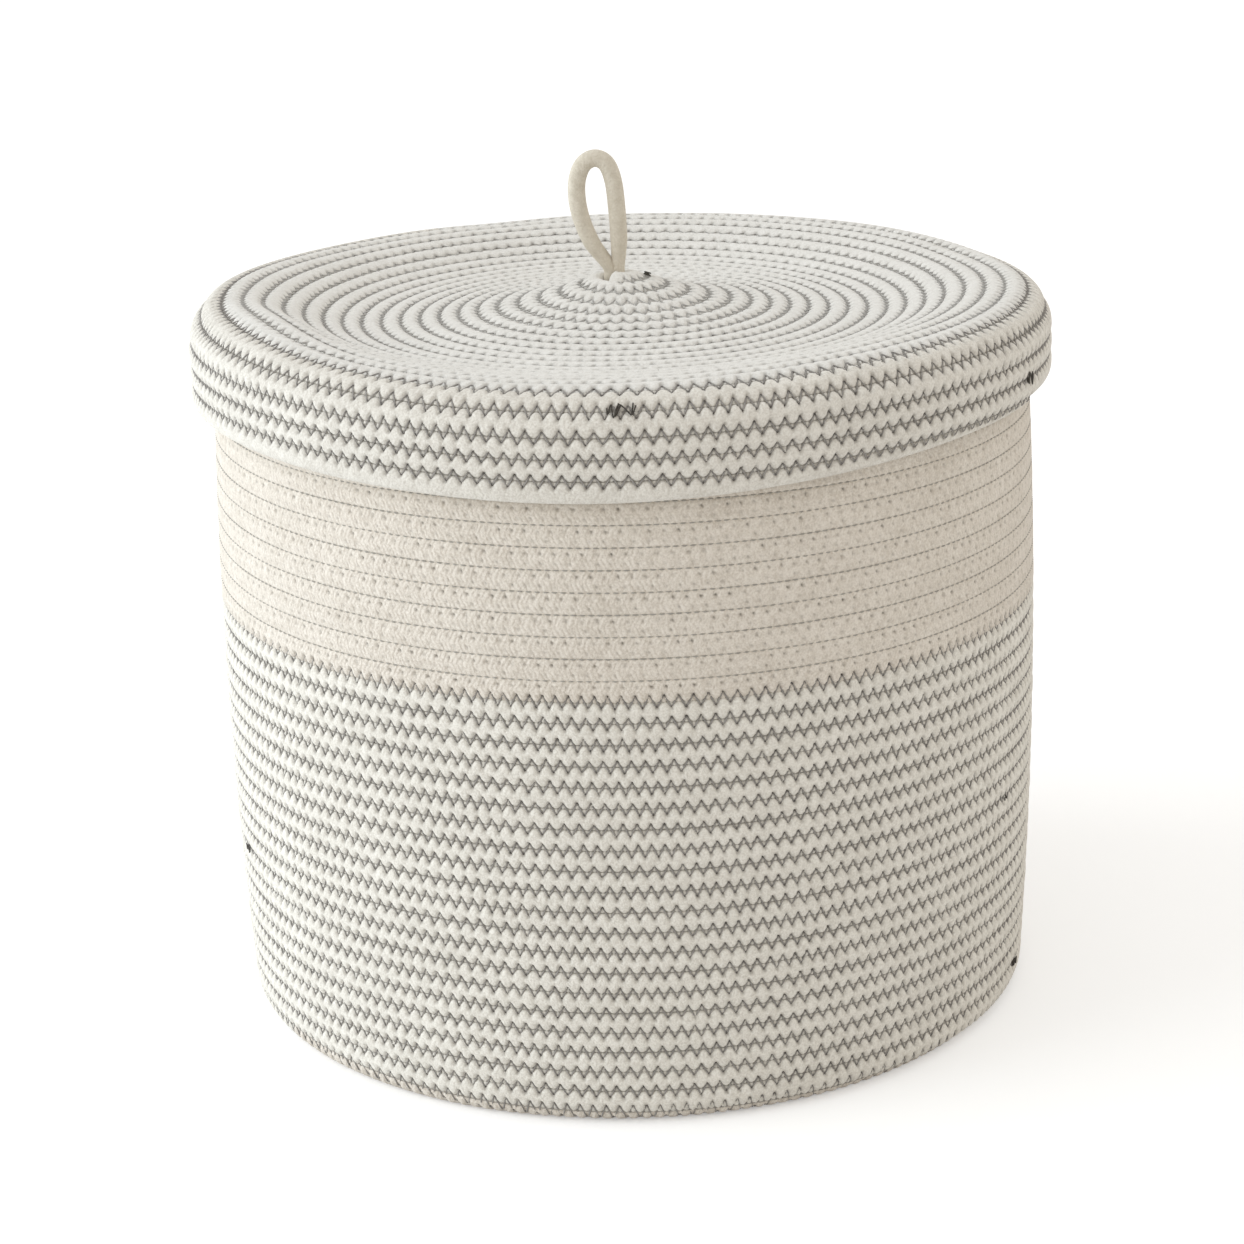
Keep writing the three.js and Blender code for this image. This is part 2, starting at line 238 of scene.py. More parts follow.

# Cotton: its lighter and darker colour by how the rope is sewn, and the painted shade in the
# needle holes and the thread's grooves, where the needle and thread have pressed it
GREY_ROPE = ((0.87, 0.845, 0.785), (0.69, 0.66, 0.60))
# The lid's skirt has the grey-sewn rope painted about 5 % darker, as painted shade
SKIRT_ROPE_WITH_PAINTED_SHADE = ((0.83, 0.805, 0.75), (0.655, 0.625, 0.57))
NATURAL_ROPE = ((0.815, 0.762, 0.69), (0.635, 0.578, 0.505))
LID_ROPE = ((0.85, 0.84, 0.81), (0.72, 0.705, 0.67))
LOOP_ROPE = ((0.78, 0.73, 0.635), (0.62, 0.57, 0.475))
PRESSED_SHADE_COLOUR, PRESSED_SHADE_SHARE = (0.18, 0.16, 0.135), 0.62
COTTON_FINISH = {
    "Roughness": 0.95, "Specular IOR Level": 0.15, "Sheen Weight": 0.1, "Sheen Roughness": 0.6,
}

# Its knit and fibre: how strongly stitches show, a stitch's length and slant, noises by how many
# there are in a metre, how much each adds to height and shade, where the stitches' share paints
# shade into the gaps between them, and the bump's strength and depth in metres
FAINT_STITCHES, SOFT_STITCHES, CLEAR_STITCHES = 0.25, 0.3, 0.7
STITCH, LOOP_STITCH = 1.9, 1.5
STITCH_SLOPE, STITCH_WOBBLE = 0.55, 0.9
FLUFF_SCALE, FIBRE_SCALE, BLOTCH_SCALE, COTTON_DETAIL = 330, 1300, 38, 3
FIBRE_HEIGHT, FLUFF_HEIGHT = 0.6, 0.8
BLOTCH_SHADE, FLUFF_SHADE, STITCH_GAP_PAINTED_SHADE = 0.6, 1.4, 0.5
GRAIN, LOOP_GRAIN = 2.6, 0.9
SHADE_LEVEL = 0.45
COTTON_BUMP = (0.6, 0.0008)

# Thread: its lighter and darker colour, the darker one in random patches and as painted shade
# between its plies, how much darker it is painted as shade in a needle hole, and its twist
GREY_THREAD = ((0.46, 0.44, 0.415), (0.26, 0.245, 0.235))
# The lid top's thread is the same grey thread as the skirt's, painted lighter as painted light
LID_THREAD_WITH_PAINTED_LIGHT = ((0.60, 0.59, 0.565), (0.42, 0.41, 0.395))
# The seam line: partly thread and partly painted shade of the gap between courses
SEAM_THREAD_AND_SHADE = ((0.50, 0.48, 0.44), (0.33, 0.31, 0.28))
NATURAL_THREAD = ((0.82, 0.79, 0.72), (0.66, 0.62, 0.54))
KNOT_THREAD = ((0.10, 0.09, 0.075), (0.04, 0.035, 0.03))
HOLE_SHADE, HOLE_SHARE = 0.4, 0.85
PLY_LENGTH, PLY_TWIST = 0.7, 2.0
THREAD_PATCH_SCALE, THREAD_PATCH_DETAIL, THREAD_PATCH_LEVEL = 160, 2, 0.35
THREAD_BUMP = (0.4, 0.0002)
THREAD_FINISH = {"Roughness": 0.75, "Specular IOR Level": 0.3}

# The camera, as fitted to the photograph's outline: 1244 x 1244 pixels
CAMERA_DISTANCE = 1.3
CAMERA_RISE = math.radians(24.4)
CAMERA_ROLL = math.radians(-1.75)
CAMERA_AIM = Vector((-0.0028, 0.0, 0.148))
FOCAL_PIXELS = 2985.0
FRAME_PIXELS = 1244.0
SENSOR = 36.0
FARTHEST_SEEN = 50

# The floor under the object, half its width in metres, and how much it glows to the camera
FLOOR_HALF = 9.0
FLOOR_COLOUR = (0.82, 0.82, 0.82)
FLOOR_GLOW = 0.33

# The sky, two suns by direction, height, strength, spread and colour, and a low panel in metres
HORIZON_LIGHT, ZENITH_LIGHT = (0.575, 0.495, 0.39), (0.825, 0.827, 0.827)
SKY_RISE = 1.2
SUNS = [
    ("window", 189, 30, 1.18, 50, (0.88, 0.95, 1.0)),
    ("bounce", 8, 25, 0.32, 70, (1.0, 0.94, 0.82)),
]
PANEL_WIDTH, PANEL_HEIGHT, PANEL_DISTANCE, PANEL_ABOVE_FLOOR = 1.4, 0.24, 1.0, 0.02
PANEL_POWER, PANEL_COLOUR = 4.55, (0.83, 0.925, 1.0)

# Uneven sewing and tangled knots come from these numbers, in the same order each time
SEED = 7
random_numbers = np.random.default_rng(SEED)


# The camera
def make_camera():
    place = Vector((0, -math.cos(CAMERA_RISE), math.sin(CAMERA_RISE))) * CAMERA_DISTANCE
    ahead = (CAMERA_AIM - place).normalized()
    right = ahead.cross(Vector((0, 0, 1))).normalized()
    up = right.cross(ahead)
    c, s = math.cos(CAMERA_ROLL), math.sin(CAMERA_ROLL)
    rolled_right = right * c + up * s
    rolled_up = up * c - right * s
    turn = Matrix((rolled_right, rolled_up, -ahead)).transposed()
    data = bpy.data.cameras.new("camera")
    data.sensor_width = SENSOR
    data.lens = FOCAL_PIXELS / FRAME_PIXELS * SENSOR
    data.clip_end = FARTHEST_SEEN
    camera = bpy.data.objects.new("camera", data)
    camera.matrix_world = Matrix.Translation(place) @ turn.to_4x4()
    bpy.context.scene.collection.objects.link(camera)
    bpy.context.scene.camera = camera


make_camera()


# A half section through the middle of the rope: radius and height by length along it. A point
# that two stretches share is kept once.
class Section:
    def __init__(self, *stretches):
        points = np.concatenate(stretches)
        keep = np.concatenate([[True], np.hypot(*np.diff(points, axis=0).T) > SAME_POINT])
        points = points[keep]
        steps = np.hypot(*np.diff(points, axis=0).T)
        ahead = (points[-1] - points[-2]) / steps[-1]
        self.points = np.vstack([points, points[-1] + SECTION_SPARE * ahead])
        self.length = np.concatenate([[0], np.cumsum(np.append(steps, SECTION_SPARE))])
        tangent = np.gradient(self.points, self.length, axis=0)
        self.tangent = tangent / np.linalg.norm(tangent, axis=1)[:, None]

    # Radius and height at a length, and how much each grows along the section there
    def at(self, length):
        place = [np.interp(length, self.length, self.points[:, k]) for k in (0, 1)]
        along = [np.interp(length, self.length, self.tangent[:, k]) for k in (0, 1)]
        return place[0], place[1], along[0], along[1]


# Straight lines, arcs and curves that half sections are made of
def line(start, end):
    share = np.linspace(0, 1, LINE_POINTS)[:, None]
    return np.array(start) * (1 - share) + np.array(end) * share


def arc(centre, radius, from_degrees, to_degrees):
    angle = np.radians(np.linspace(from_degrees, to_degrees, ARC_POINTS))
    return np.stack([centre[0] + radius * np.cos(angle), centre[1] + radius * np.sin(angle)], 1)


def bow(a, b, c):
    t = np.linspace(0, 1, WALL_POINTS)[:, None]
    a, b, c = (np.array(point, float) for point in (a, b, c))
    return a * (1 - t) ** 2 + 2 * t * (1 - t) * b + c * t**2


def bezier(a, b, c, d):
    t = np.linspace(0, 1, LINE_POINTS)[:, None]
    a, b, c, d = (np.array(point, float) for point in (a, b, c, d))
    return a * (1 - t) ** 3 + 3 * b * t * (1 - t) ** 2 + 3 * c * t**2 * (1 - t) + d * t**3


# The wall bows outward from foot to rim, and is as long as the turns that are left for it. A
# shallow bow is longer than it is high by 8/3 of its swell squared over its length.
def basket_section():
    foot, belly, rim = (radius - ROPE_HALF for radius in (FOOT_RADIUS, BELLY_RADIUS, RIM_RADIUS))
    corner = foot - CORNER_RADIUS
    wall_foot = ROPE_HALF + CORNER_RADIUS
    wall_length = RIM_END * BASKET_PITCH - corner - math.pi / 2 * CORNER_RADIUS
    swell = belly - (foot + rim) / 2
    wall_top = wall_foot + wall_length - 8 / 3 * swell**2 / wall_length
    middle = (belly + swell, (wall_foot + wall_top) / 2)
    return Section(
        line((0, ROPE_HALF), (corner, ROPE_HALF)),
        arc((corner, wall_foot), CORNER_RADIUS, -90, 0),
        bow((foot, wall_foot), middle, (rim, wall_top)),
    )


# The lid's ridge rests on the rim, and its skirt hangs outside the wall
def lid_section(basket):
    skirt = RIM_RADIUS + LID_CLEARANCE + ROPE_HALF
    shoulder = skirt - SHOULDER_RADIUS
    rim_radius, rim_height, _, _ = basket.at((RIM_END - RIM_MARGIN_TURNS) * BASKET_PITCH)
    rim_top = rim_height + (BASKET_PITCH - SEAM_GAP) / 2
    reach = SHOULDER_RADIUS - ROPE_HALF - SEAT_GAP
    shoulder_height = rim_top - math.sqrt(reach**2 - (rim_radius - shoulder) ** 2) - RIDGE_SINK
    crown = shoulder_height + SHOULDER_RADIUS
    dish = crown - DISH_DEPTH
    centre = dish + CENTRE_RISE
    half_up = (DISH_RADIUS + shoulder) / 2
    cone_foot = (CONE_REACH * DISH_RADIUS, centre - CONE_DROP * CENTRE_RISE)
    return Section(
        bezier((0, centre), cone_foot, (CONE_LEVEL * DISH_RADIUS, dish), (DISH_RADIUS, dish)),
        bezier((DISH_RADIUS, dish), (half_up, dish), (half_up, crown), (shoulder, crown)),
        arc((shoulder, shoulder_height), SHOULDER_RADIUS, 90, 0),
        line((skirt, shoulder_height), (skirt, shoulder_height - SKIRT_TURNS * LID_PITCH)),
    )


def smooth(share):
    share = np.clip(share, 0, 1)
    return share * share * (3 - 2 * share)


def waves(run, table):
    return sum(height * np.sin(run / length + phase) for height, length, phase in table)


def turned_from(angle, direction):
    return np.abs(np.arctan2(np.sin(angle - direction), np.cos(angle - direction)))


# How far the lid's rope stands above its level half section, by length along it and by direction
def lid_lift(length, angle):
    outward = smooth((length - DISH_RADIUS) / (RIM_RADIUS - SHOULDER_RADIUS - DISH_RADIUS))
    from_front = turned_from(angle, DROOP_CENTRE)
    lift = DROOP * outward * smooth(from_front / DROOP_HALF_WIDTH)
    lift = lift + outward * ALL_ROUND_LIFT + CENTRE_LIFT * (1 - smooth(length / CENTRE_LIFT_END))
    for height, direction, width, centre, reach in CROWN_BUMPS:
        aside = turned_from(angle, direction) / width
        along = (length - centre) / reach
        lift = lift + height * np.exp(-(aside**2) - along**2)
    return lift


# A rope wound along a half section, with the zigzag that is sewn over its seams. Facing is 1
# where the outer face lies to the right of the section's way, as on the basket, and -1 where it
# lies to the left, as on the lid, whose rope winds the other way round.
class Coil:
    def __init__(self, body, section, pitch, start, facing, tooth, seams, reach, feels,
                 lift=None, shift=0):
        self.body = body
        self.section = section
        self.pitch = pitch
        self.start = start
        self.facing = facing
        self.tooth = tooth
        self.seams = seams
        self.lift = lift
        self.shift = shift
        self.reach_turns, self.reach_shares = zip(*reach)
        self.feel_turns = [turn for turn, feel in feels]
        self.feels = np.array([feel for turn, feel in feels])
        self.turns = np.linspace(0, seams[1] + SPARE_TURNS, TURN_STEPS)
        radius = section.at(self.turns * pitch)[0]
        steps = TURN * (radius[1:] + radius[:-1]) / 2 * np.diff(self.turns)
        self.run = np.concatenate([[0], np.cumsum(steps)])
        tips = 2 * (int(self.run[-1] / tooth) + SPARE_TEETH)
        self.tip_teeth = np.arange(tips) / 2
        self.unevenness = random_numbers.uniform(-1, 1, tips)
        self.looseness = random_numbers.uniform(-1, 1, tips)

    # The point that lies so far along the wall and out from the rope's middle line
    def place(self, turns, along, out):
        length = turns * self.pitch + along
        left = 1 - smooth((length - SHIFT_START) / (SHIFT_END - SHIFT_START))
        length = length - self.shift * left
        radius, height, ahead_r, ahead_z = self.section.at(length)
        angle = self.start - self.facing * TURN * turns
        radius = radius + self.facing * out * ahead_z
        height = height - self.facing * out * ahead_r
        if self.lift is not None:
            height = height + self.lift(length, angle)
        return np.stack([radius * np.cos(angle), radius * np.sin(angle), height], -1)

    def feel_at(self, turns, part):
        return np.interp(turns, self.feel_turns, self.feels[:, FEEL_PARTS.index(part)])

    def run_at(self, turns):
        return np.interp(turns, self.turns, self.run)

    def turns_at(self, run):
        return np.interp(run, self.run, self.turns)

    # The count of teeth along a seam, which wanders a little, and its reverse
    def teeth_at(self, run):
        return run / self.tooth + waves(run, TEETH_WAVES)

    def run_of_teeth(self, teeth):
        runs = np.linspace(0, self.run[-1], TEETH_STEPS)
        return np.interp(teeth, self.teeth_at(runs), runs)

    def reach_at(self, teeth, turns):
        share = np.interp(turns, self.reach_turns, self.reach_shares)
        uneven = np.interp(teeth, self.tip_teeth, self.unevenness)
        return REACH * share * (1 + REACH_SPREAD * uneven)

    def looseness_at(self, teeth):
        return np.interp(teeth, self.tip_teeth, self.looseness)


def zigzag(teeth):
    return 1 - 4 * np.abs(teeth - np.floor(teeth) - 0.5)


# How deep the sewing presses the rope at a distance from a seam, by its thread and at its
# needle holes, and how much painted shade it gets there
def sewn_depth(coil, seam_turns, distance):
    teeth = coil.teeth_at(coil.run_at(seam_turns))
    reach = coil.reach_at(teeth, seam_turns)
    slant = (coil.tooth / 2) / np.hypot(coil.tooth / 2, 2 * reach)
    from_thread = np.abs(distance - reach * zigzag(teeth)) * slant
    within = np.clip((reach + GROOVE_END - np.abs(distance)) / GROOVE_END, 0, 1)
    feels = ("pinch", "pinch_width", "hole", "hole_width")
    pinch, pinch_width, hole_depth, hole_width = (
        coil.feel_at(seam_turns - 0.5, part) for part in feels
    )
    nearest = np.round(2 * teeth) / 2
    tip = reach * (1 - 2 * ((2 * nearest + 1) % 2))
    from_hole = ((teeth - nearest) * coil.tooth) ** 2 + (distance - tip) ** 2
    pull = PULL + PULL_SPREAD * coil.looseness_at(nearest)
    sewn = (seam_turns > coil.seams[0]) & (seam_turns < coil.seams[1])
    groove = np.exp(-((from_thread / pinch_width) ** 2)) * within * sewn
    hole = np.exp(-from_hole / hole_width**2) * pull * sewn
    return pinch * groove + hole_depth * hole, GROOVE_MARK * groove * pinch + hole


# The faces of a closed tube: four-sided ones between its rings, and a cap at each end
def add_faces(mesh, count, sides):
    ring = np.arange(count - 1)[:, None] * sides
    side = np.arange(sides)[None, :]
    following = (side + 1) % sides
    quads = [ring + side, ring + following, ring + sides + following, ring + sides + side]
    quads = np.stack(quads, -1).reshape(-1, 4)
    caps = [np.arange(sides)[::-1], (count - 1) * sides + np.arange(sides)]
    corners = np.concatenate([quads.ravel(), *caps])
    starts = np.concatenate([np.arange(len(quads)) * 4, len(quads) * 4 + np.array([0, sides])])
    totals = np.concatenate([np.full(len(quads), 4), [sides, sides]])
    mesh.loops.add(len(corners))
    mesh.loops.foreach_set("vertex_index", corners)
    mesh.polygons.add(len(starts))
    mesh.polygons.foreach_set("loop_start", starts)
    mesh.polygons.foreach_set("loop_total", totals)
    mesh.polygons.foreach_set("use_smooth", np.ones(len(starts), bool))


# As UV a tube has its length in metres and the share of the way round: up one face from 0 to 1
# and down the other to 2
def add_uv(mesh, lengths, across):
    following = np.roll(across, -1)
    wraps = np.abs(following - across) > 1
    following = following + wraps * 2 * np.sign(across - following)
    shape = (len(lengths) - 1, len(across))
    begin, end = (np.broadcast_to(part[:, None], shape) for part in (lengths[:-1], lengths[1:]))
    here, there = (np.broadcast_to(part[None, :], shape) for part in (across, following))
    u = np.stack([begin, begin, end, end], -1).ravel()
    v = np.stack([here, there, there, here], -1).ravel()
    u = np.concatenate([u, np.full(len(across), lengths[0]), np.full(len(across), lengths[-1])])
    v = np.concatenate([v, across[::-1], across])
    layer = mesh.uv_layers.new(name="rope")
    layer.data.foreach_set("uv", np.stack([u, v], -1).ravel())


# A closed tube from rings of points, as a piece that rides on a body
def tube_mesh(name, rings, lengths, material, body, replaces=(), across=None, pressed_shade=None):
    count, sides, _ = rings.shape
    points = rings.reshape(-1, 3) * MM
    mesh = bpy.data.meshes.new(name)
    mesh.vertices.add(len(points))
    mesh.vertices.foreach_set("co", points.ravel())
    add_faces(mesh, count, sides)
    if across is None:
        across = 2 * np.arange(sides) / sides
    add_uv(mesh, lengths * MM, across)
    # Where the needle and thread press in, as a share of painted shade for the material
    if pressed_shade is not None:
        mark = mesh.attributes.new("pressed_shade", "FLOAT", "POINT")
        mark.data.foreach_set("value", pressed_shade.ravel().astype(np.float32))
    mesh.update(calc_edges=True)
    mesh.validate()
    mesh.materials.append(material)
    piece = bpy.data.objects.new(name, mesh)
    bpy.context.scene.collection.objects.link(piece)
    if body:
        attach(piece, body)
    if replaces:
        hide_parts(*replaces)
    return piece


# How far a rope is drawn in towards its ends, as a share of its full size
def end_taper(turns, taper_at, open_at):
    taper = np.ones(len(turns))
    if taper_at is not None:
        taper = END_TAPER + (1 - END_TAPER) * smooth((taper_at - turns) / END_TAPER_TURNS)
    if open_at is not None:
        rounding = np.clip((turns - open_at) / OPENING_TURNS, 0, 1)
        taper = taper * (OPENING_TAPER + (1 - OPENING_TAPER) * np.sqrt(1 - (1 - rounding) ** 2))
    return taper


# One stretch of a wound rope, pressed square and dimpled by the sewing on both faces
def wind_rope(name, coil, first, last, material, slot, node, spacing=RING_SPACING,
              taper_at=None, open_at=None):
    begin, end = coil.run_at(np.array([first, last]))
    runs = np.linspace(begin, end, max(3, int((end - begin) / spacing)))[:, None]
    turns = coil.turns_at(runs)
    taper = end_taper(turns[:, 0], taper_at, open_at)[:, None]
    shares = np.concatenate([OUTER_SHARES, INNER_SHARES])[None, :]
    face = np.concatenate([np.ones(len(OUTER_SHARES)), -np.ones(len(INNER_SHARES))])[None, :]
    across = np.where(face > 0, 0.5 + 0.5 * shares, 1.5 - 0.5 * shares)[0]
    squareness = coil.feel_at(turns, "squareness")
    thickness = ROPE_HALF * (1 - np.abs(shares) ** squareness) ** (1 / squareness)
    shift = waves(runs, WANDER_WAVES) - (coil.pitch / 2) * (1 - taper)
    along = (coil.pitch / 2 + coil.feel_at(turns, "overlap")) * shares * taper + shift
    upper, upper_mark = sewn_depth(coil, turns + 0.5, along - coil.pitch / 2)
    lower, lower_mark = sewn_depth(coil, turns - 0.5, along + coil.pitch / 2)
    lower_share = coil.feel_at(turns - 1, "lower_share")
    flatness = np.clip(FLAT_RISE * thickness / ROPE_HALF - FLAT_START, 0, 1)
    depth = np.minimum(upper + lower_share * lower, DEEPEST_PRESS) * flatness
    # Painted shade in the needle holes and the thread's grooves
    pressed_shade = np.clip(upper_mark + lower_share * lower_mark, 0, 1)
    out = face * (thickness * (THICKNESS + waves(runs, THICKNESS_WAVES)) - depth) * taper
    rings = coil.place(turns, along, out)
    if coil.facing < 0:
        rings, across, pressed_shade = rings[:, ::-1], across[::-1], pressed_shade[:, ::-1]
    return tube_mesh(name, rings, runs[:, 0], material, coil.body, (node,), across, pressed_shade)


# A longer stretch, in numbered pieces of at most so many turns
def wind_pieces(name, coil, first, last, most, material, slot, node, **ends):
    count = math.ceil((last - first) / most)
    edges = np.linspace(first, last, count + 1)
    for k in range(count):
        wind_rope(f"{name}_{k + 1}", coil, edges[k], edges[k + 1], material, slot, node, **ends)


# A smooth curve through points
def curve_through(points, per_span):
    points = np.array(points, float)
    ends = np.vstack([2 * points[0] - points[1], points, 2 * points[-1] - points[-2]])
    path = []
    for k in range(1, len(ends) - 2):
        a, b, c, d = ends[k - 1 : k + 3]
        for t in np.arange(per_span) / per_span:
            bend = (2 * a - 5 * b + 4 * c - d) * t**2 + (3 * b - a - 3 * c + d) * t**3
            path.append(0.5 * (2 * b + (c - a) * t + bend))
    path.append(points[-1])
    return np.array(path)


def length_along(path):
    steps = np.linalg.norm(np.diff(path, axis=0), axis=1)
    return np.concatenate([[0], np.cumsum(steps)])


# Rings of thread or cord along a path, with a normal at each point
def thread_rings(path, normal, radius, sides=4):
    ahead = np.gradient(path, axis=0)
    ahead /= np.linalg.norm(ahead, axis=1)[:, None]
    across = np.cross(ahead, normal)
    across /= np.linalg.norm(across, axis=1)[:, None]
    up = np.cross(across, ahead)
    angle = TURN * np.arange(sides)[None, :, None] / sides
    offset = np.cos(angle) * across[:, None, :] + np.sin(angle) * up[:, None, :]
    return path[:, None, :] + radius * offset


# Thread that lies at a distance along the wall from a seam's middle and out from the rope's
def lay_thread(name, coil, runs, off, out, side, radius, material, at_tip=None):
    turns = coil.turns_at(runs) - 0.5
    path = coil.place(turns, coil.pitch / 2 + off, side * out)
    above = coil.place(turns, coil.pitch / 2 + off, side * (out + 1))
    rings = thread_rings(path, above - path, radius)
    # Painted shade at the thread's tips, where it goes into a needle hole
    pressed_shade = None if at_tip is None else np.repeat(at_tip[:, None], rings.shape[1], axis=1)
    return tube_mesh(name, rings, runs, material, coil.body, pressed_shade=pressed_shade)


# The zigzag over the seams from one turn to another; side is 1 outside and -1 inside
def sew_zigzag(name, coil, first, last, side, material, radius=THREAD_RADIUS):
    begin, end = coil.teeth_at(coil.run_at(np.array([first, last])))
    whole = np.arange(math.ceil(begin), math.floor(end))
    teeth = (whole[:, None] + TOOTH_SHARES[None, :]).ravel()
    runs = coil.run_of_teeth(teeth)
    turns = coil.turns_at(runs)
    off = coil.reach_at(teeth, turns) * zigzag(teeth)
    at_tip = np.tile(np.isin(TOOTH_SHARES, TIP_SHARES), len(whole))
    lift = THREAD_LIFT * coil.looseness_at(teeth)
    out = ROPE_HALF - coil.feel_at(turns - 0.5, "sink") + lift - TIP_DIP * at_tip
    return lay_thread(name, coil, runs, off, out, side, radius, material, at_tip)


# The fine line that lies in a seam, partly thread and partly painted shade of the gap between
# courses; it may show as a row of beads
def lay_seam_line(name, coil, first, last, look, material):
    depth, radius, beads = look
    begin, end = coil.run_at(np.array([first, last]))
    runs = np.linspace(begin, end, int((end - begin) / (BEAD_LENGTH / POINTS_PER_BEAD)))
    out = ROPE_HALF - depth + beads * np.sin(runs * TURN / BEAD_LENGTH)
    return lay_thread(name, coil, runs, 0, out, 1, radius, material)


# A tree of nodes, with short calls for those that are used often. A value is a number, a colour
# or what another node gives.
class Nodes:
    def __init__(self, owner):
        owner.use_nodes = True
        self.tree = owner.node_tree
        self.tree.nodes.clear()

    def add(self, kind):
        return self.tree.nodes.new(kind)

    def feed(self, value, socket):
        if isinstance(value, tuple):
            socket.default_value = (*value, 1)
        elif isinstance(value, (int, float)):
            socket.default_value = value
        else:
            self.tree.links.new(value, socket)

    def math(self, operation, first, second):
        node = self.add("ShaderNodeMath")
        node.operation = operation
        self.feed(first, node.inputs[0])
        self.feed(second, node.inputs[1])
        return node.outputs[0]

    # The sum of a first value and of others, each times its weight
    def total(self, first, *weighted):
        for value, weight in weighted:
            first = self.math("ADD", first, self.math("MULTIPLY", value, weight))
        return first

    def parts(self, vector):
        node = self.add("ShaderNodeSeparateXYZ")
        self.feed(vector, node.inputs["Vector"])
        return node.outputs

    def noise(self, scale, detail):
        place = self.add("ShaderNodeTexCoord").outputs["Object"]
        node = self.add("ShaderNodeTexNoise")
        self.feed(scale, node.inputs["Scale"])
        self.feed(detail, node.inputs["Detail"])
        self.feed(place, node.inputs["Vector"])
        return node.outputs["Fac"]

    def mix(self, share, first, second):
        node = self.add("ShaderNodeMix")
        node.data_type = "RGBA"
        self.feed(share, node.inputs["Factor"])
        self.feed(first, node.inputs["A"])
        self.feed(second, node.inputs["B"])
        return node.outputs["Result"]

    # A tube's length in metres, and the share of the way round it
    def rope_uv(self):
        uv = self.add("ShaderNodeUVMap")
        uv.uv_map = "rope"
        parts = self.parts(uv.outputs["UV"])
        return parts["X"], parts["Y"]

    # Painted shade where the needle and thread press in, at most the share that is given
    def pressed_shade(self, share):
        mark = self.add("ShaderNodeAttribute")
        mark.attribute_name = "pressed_shade"
        return self.math("MULTIPLY", mark.outputs["Fac"], share)

    def bump(self, height, strength, distance, shader):
        node = self.add("ShaderNodeBump")
        self.feed(strength, node.inputs["Strength"])
        self.feed(distance, node.inputs["Distance"])
        self.feed(height, node.inputs["Height"])
        self.feed(node.outputs["Normal"], shader.inputs["Normal"])

    # 1 for a ray that comes from the camera, also by way of a mirror or glass
    def seen(self):
        path = self.add("ShaderNodeLightPath")
        seen = self.math("MAXIMUM", path.outputs["Is Camera Ray"], path.outputs["Is Glossy Ray"])
        return self.math("MAXIMUM", seen, path.outputs["Is Transmission Ray"])


def new_material(name, finish):
    material = bpy.data.materials.new(name)
    nodes = Nodes(material)
    output = nodes.add("ShaderNodeOutputMaterial")
    shader = nodes.add("ShaderNodeBsdfPrincipled")
    nodes.feed(shader.outputs["BSDF"], output.inputs["Surface"])
    for socket, value in finish.items():
        shader.inputs[socket].default_value = value
    return material, nodes, shader


# Rows of small slanting stitches that meet along the rope's middle
def stitch_rows(nodes, stitch, fluff):
    length, across = nodes.rope_uv()
    length = nodes.math("MULTIPLY", length, 1 / (MM * stitch))
    across = nodes.math("PINGPONG", nodes.math("ADD", across, 0.5), 0.5)
    slope = STITCH_SLOPE * 2 * ROPE_HALF / stitch
    phase = nodes.total(length, (across, slope), (fluff, STITCH_WOBBLE))
    return nodes.math("PINGPONG", phase, 0.5)


# Knitted cotton, with soft fibre and blotches of tone, and painted shade in the gaps between its
# stitches. Its stitches show less where the rope is fluffed up.
def knitted_rope(name, colours, stitches, stitch=STITCH, grain=GRAIN):
    material, nodes, shader = new_material(name, COTTON_FINISH)
    light, dark = colours
    fluff = nodes.noise(FLUFF_SCALE, COTTON_DETAIL)
    fibre = nodes.noise(FIBRE_SCALE, COTTON_DETAIL)
    blotch = nodes.noise(BLOTCH_SCALE, COTTON_DETAIL)
    plies = nodes.math("MULTIPLY", stitch_rows(nodes, stitch, fluff), stitches)
    height = nodes.total(plies, (fibre, FIBRE_HEIGHT), (fluff, FLUFF_HEIGHT))
    nodes.bump(height, *COTTON_BUMP, shader)
    shade = nodes.math("MULTIPLY", blotch, BLOTCH_SHADE)
    # The gaps between stitches are painted darker, as shade
    shade = nodes.total(shade, (fibre, grain), (fluff, FLUFF_SHADE), (plies, -STITCH_GAP_PAINTED_SHADE))
    shade = nodes.math("SUBTRACT", shade, SHADE_LEVEL + grain / 2)
    cotton = nodes.mix(shade, light, dark)
    # Painted shade in the needle holes and the thread's grooves
    cotton = nodes.mix(nodes.pressed_shade(PRESSED_SHADE_SHARE), cotton, PRESSED_SHADE_COLOUR)
    nodes.feed(cotton, shader.inputs["Base Color"])
    return material


# Twisted sewing thread: fine slanting plies along it, painted darker between them as shade, and
# darker where it goes into a needle hole, as painted shade
def sewing_thread(name, colours):
    material, nodes, shader = new_material(name, THREAD_FINISH)
    light, dark = colours
    length, across = nodes.rope_uv()
    length = nodes.math("MULTIPLY", length, 1 / (MM * PLY_LENGTH))
    ply = nodes.math("PINGPONG", nodes.total(length, (across, PLY_TWIST)), 0.5)
    patches = nodes.noise(THREAD_PATCH_SCALE, THREAD_PATCH_DETAIL)
    patches = nodes.math("SUBTRACT", patches, THREAD_PATCH_LEVEL)
    # Painted shade between the plies, with random patches of tone
    colour = nodes.mix(nodes.math("ADD", ply, patches), dark, light)
    deepest = tuple(HOLE_SHADE * part for part in dark)
    # Painted shade where the thread goes into a needle hole
    colour = nodes.mix(nodes.pressed_shade(HOLE_SHARE), colour, deepest)
    nodes.feed(colour, shader.inputs["Base Color"])
    nodes.bump(ply, *THREAD_BUMP, shader)
    return material


